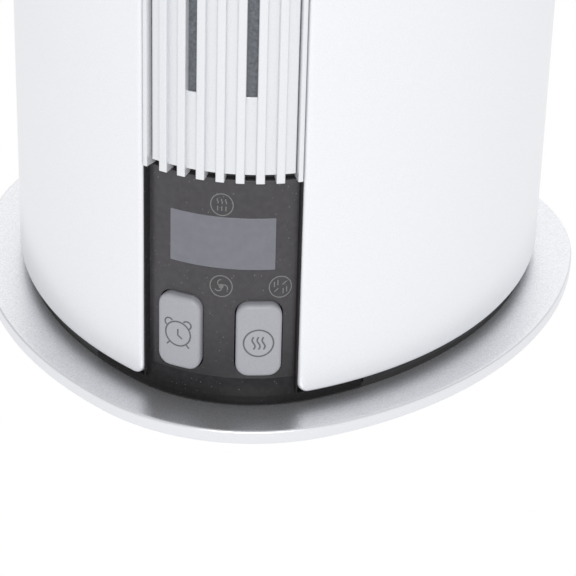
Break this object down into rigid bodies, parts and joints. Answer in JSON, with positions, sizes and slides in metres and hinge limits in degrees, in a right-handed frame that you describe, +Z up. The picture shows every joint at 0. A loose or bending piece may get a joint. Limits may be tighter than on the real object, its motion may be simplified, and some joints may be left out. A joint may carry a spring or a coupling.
{
  "type": "ceramic tower heater",
  "caption": "Silver ceramic tower heater on a flat egg-shaped foot, with a ribbed outlet front, dark control strip, display, two buttons and rear intake; the tower swings on its foot.",
  "frame": {"origin": "on the floor under the middle of the foot's outline", "axes": "+Z up along the tower, +X to the viewer's right, front with the display towards -Y"},
  "size_m": [0.1942, 0.2036, 0.55],
  "materials": {
    "shell_silver": "satin silver-white paint",
    "foot_silver": "fine metallic silver paint",
    "charcoal_gloss": "semi-gloss charcoal",
    "charcoal_matte": "fine-textured charcoal",
    "button_grey": "satin light grey",
    "display_glass": "smoked grey window",
    "black_plastic": "moulded black",
    "white_plastic": "moulded off-white",
    "circuit_board": "green solder mask",
    "steel": "plain steel",
    "dark_steel": "black coated steel",
    "heater_fins": "bare fins on ceramic stones",
    "brass": "sintered",
    "rubber": "matte black rubber",
    "foam": "open-cell filter foam"
  },
  "bodies": {
    "base": {"base_plate": "foot_silver", "ballast_plate": "dark_steel", "foot_pad_1": "rubber", "foot_pad_2": "rubber", "foot_pad_3": "rubber", "foot_pad_4": "rubber", "foot_pad_5": "rubber", "bearing_ring": "white_plastic", "pivot_shaft": "steel", "retaining_plate": "steel", "pivot_screw_1": "steel", "pivot_screw_2": "steel", "pivot_screw_3": "steel", "pivot_screw_4": "steel"},
    "tower": {"tower_floor": "black_plastic", "left_shell": "shell_silver", "right_shell": "shell_silver", "front_bezel": "charcoal_gloss", "front_grille": "shell_silver", "top_cap": "shell_silver", "top_inlay": "charcoal_gloss", "front_head": "shell_silver", "display_window": "display_glass", "display_module": "white_plastic", "control_board": "circuit_board", "timer_switch": "black_plastic", "heat_switch": "black_plastic", "rear_housing": "charcoal_matte", "rear_screw_1": "dark_steel", "rear_screw_2": "dark_steel", "rear_screw_3": "dark_steel", "rear_screw_4": "dark_steel", "handle_cup": "charcoal_matte", "rocker_frame": "black_plastic", "cord_gland": "rubber", "oscillation_motor": "steel", "motor_bridge": "dark_steel", "tip_switch": "white_plastic", "heater_frame": "white_plastic", "ptc_core_lower": "heater_fins", "ptc_core_upper": "heater_fins", "thermostat": "steel", "blower_housing": "black_plastic", "lower_bearing": "brass", "upper_bearing": "brass", "fan_motor": "steel", "power_board": "circuit_board", "relay_block": "black_plastic", "mains_capacitor": "white_plastic", "handle_surround": "charcoal_matte"},
    "intake": {"intake_grille": "black_plastic", "filter_foam": "foam"},
    "timer_key": {"timer_button": "button_grey"},
    "heat_key": {"heat_button": "button_grey"},
    "rocker": {"power_rocker": "black_plastic"},
    "wheel": {"impeller": "black_plastic", "impeller_shaft": "steel"}
  },
  "joints": [
    {"name": "swing", "type": "hinge", "parent": "base", "child": "tower", "pos_m": [0, 0, 0.0105], "axis": [0, 0, 1], "range_deg": [-30, 30]},
    {"name": "timer_press", "type": "slide", "parent": "tower", "child": "timer_key", "axis": [0.2385, 0.9711, 0], "range_m": [0, 0.001], "stiffness_N_per_m": 400},
    {"name": "heat_press", "type": "slide", "parent": "tower", "child": "heat_key", "axis": [-0.2385, 0.9711, 0], "range_m": [0, 0.001], "stiffness_N_per_m": 400},
    {"name": "rocker_tilt", "type": "hinge", "parent": "tower", "child": "rocker", "pos_m": [0, 0.084, 0.069], "axis": [1, 0, 0], "range_deg": [0, 10]},
    {"name": "intake_pull", "type": "slide", "parent": "tower", "child": "intake", "axis": [0, 1, 0], "range_m": [0, 0.06]},
    {"name": "wheel_spin", "type": "hinge", "parent": "tower", "child": "wheel", "pos_m": [0, 0.006, 0.315], "axis": [0, 0, 1], "continuous": true}
  ]
}
